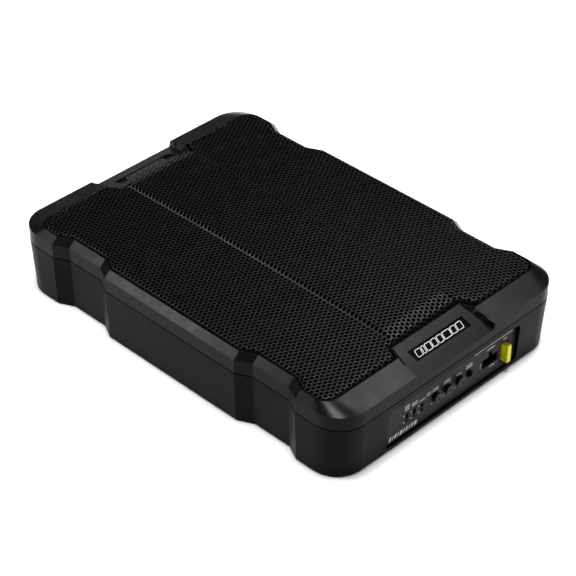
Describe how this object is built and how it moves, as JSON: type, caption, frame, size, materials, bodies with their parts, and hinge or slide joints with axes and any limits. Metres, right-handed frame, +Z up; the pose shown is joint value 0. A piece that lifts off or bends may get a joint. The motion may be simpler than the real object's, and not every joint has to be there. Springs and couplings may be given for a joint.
{
  "type": "powered car subwoofer",
  "caption": "Flat powered subwoofer for under a car seat: perforated grille, shallow woofer, built-in amplifier, end panel with knobs, switches, sockets and a blade fuse.",
  "frame": {"origin": "centre of the underside's bounding rectangle, on the surface it stands on", "axes": "+Z up out of the grille, -Y out of the control panel, +X to the right when facing the control panel"},
  "size_m": [0.3, 0.433, 0.0884],
  "materials": {
    "case_paint": "satin",
    "foam": "matte",
    "black_plastic": "matte",
    "black_steel": "satin",
    "bezel_plastic": "satin",
    "grille_steel": "satin",
    "emblem_plastic": "gloss",
    "panel_plastic": "satin",
    "slider_plastic": "satin",
    "board_green": "satin",
    "knob_plastic": "satin",
    "gold_contact": "satin",
    "yellow_plastic": "gloss",
    "tinned_metal": "satin",
    "zinc_steel": "satin",
    "capacitor_sleeve": "gloss",
    "ferrite": "matte",
    "copper_wire": "gloss",
    "bare_aluminium": "satin",
    "former_kapton": "satin",
    "spider_cloth": "matte",
    "cone_paper": "matte",
    "rubber": "matte",
    "red_sleeve": "satin"
  },
  "bodies": {
    "case": {"lower_housing": "case_paint", "housing_seal": "foam", "baffle": "black_plastic", "case_screws": "black_steel", "top_bezel": "bezel_plastic", "grille": "grille_steel", "front_emblem": "emblem_plastic", "rear_emblem": "emblem_plastic", "control_panel": "panel_plastic", "phase_switch_body": "black_plastic", "input_switch_body": "black_plastic", "turn_on_switch_body": "black_plastic", "gain_potentiometer": "board_green", "crossover_potentiometer": "board_green", "bass_boost_potentiometer": "board_green", "remote_jack": "black_plastic", "harness_header": "black_plastic", "harness_pins": "gold_contact", "fuse_socket": "black_plastic", "fuse_clips": "gold_contact", "circuit_board": "board_green", "board_screws": "zinc_steel", "filter_capacitors": "capacitor_sleeve", "toroid_core": "ferrite", "toroid_winding": "copper_wire", "output_inductors": "ferrite", "signal_chips": "black_plastic", "power_transistors": "black_plastic", "heat_spreader": "bare_aluminium", "clamp_bar": "bare_aluminium", "clamp_screws": "zinc_steel", "woofer_basket": "black_steel", "woofer_seal": "foam", "woofer_screws": "black_steel", "woofer_top_plate": "zinc_steel", "woofer_magnet": "ferrite", "woofer_back_plate": "zinc_steel", "spider": "spider_cloth", "surround": "rubber", "speaker_terminals": "gold_contact", "tinsel_leads": "copper_wire", "speaker_leads": "red_sleeve"},
    "cone_group": {"cone": "cone_paper", "dust_cap": "cone_paper", "voice_coil_former": "former_kapton", "voice_coil_winding": "copper_wire"},
    "gain_control": {"gain_knob": "knob_plastic"},
    "crossover_control": {"crossover_knob": "knob_plastic"},
    "bass_boost_control": {"bass_boost_knob": "knob_plastic"},
    "phase_slider": {"phase_switch_slider": "slider_plastic"},
    "input_slider": {"input_switch_slider": "slider_plastic"},
    "turn_on_slider": {"turn_on_switch_slider": "slider_plastic"},
    "fuse": {"fuse_body": "yellow_plastic", "fuse_blades": "tinned_metal"}
  },
  "joints": [
    {"name": "cone_stroke", "type": "slide", "parent": "case", "child": "cone_group", "axis": [0, 0, 1], "range_m": [-0.007, 0.007], "stiffness_N_per_m": 2500, "deforming": ["surround", "spider", "tinsel_leads"]},
    {"name": "gain_turn", "type": "hinge", "parent": "case", "child": "gain_control", "pos_m": [-0.0196, -0.2105, 0.0248], "axis": [0, -1, 0], "range_deg": [-140, 140]},
    {"name": "crossover_turn", "type": "hinge", "parent": "case", "child": "crossover_control", "pos_m": [-0.0036, -0.2105, 0.0248], "axis": [0, -1, 0], "range_deg": [-140, 140]},
    {"name": "bass_boost_turn", "type": "hinge", "parent": "case", "child": "bass_boost_control", "pos_m": [0.0124, -0.2105, 0.0248], "axis": [0, -1, 0], "range_deg": [-140, 140]},
    {"name": "phase_slide", "type": "slide", "parent": "case", "child": "phase_slider", "axis": [0, 0, 1], "range_m": [0, 0.003]},
    {"name": "input_slide", "type": "slide", "parent": "case", "child": "input_slider", "axis": [0, 0, 1], "range_m": [0, 0.003]},
    {"name": "turn_on_slide", "type": "slide", "parent": "case", "child": "turn_on_slider", "axis": [0, 0, 1], "range_m": [-0.0015, 0.0015]},
    {"name": "fuse_pull", "type": "slide", "parent": "case", "child": "fuse", "axis": [0, -1, 0], "range_m": [0, 0.022]}
  ]
}
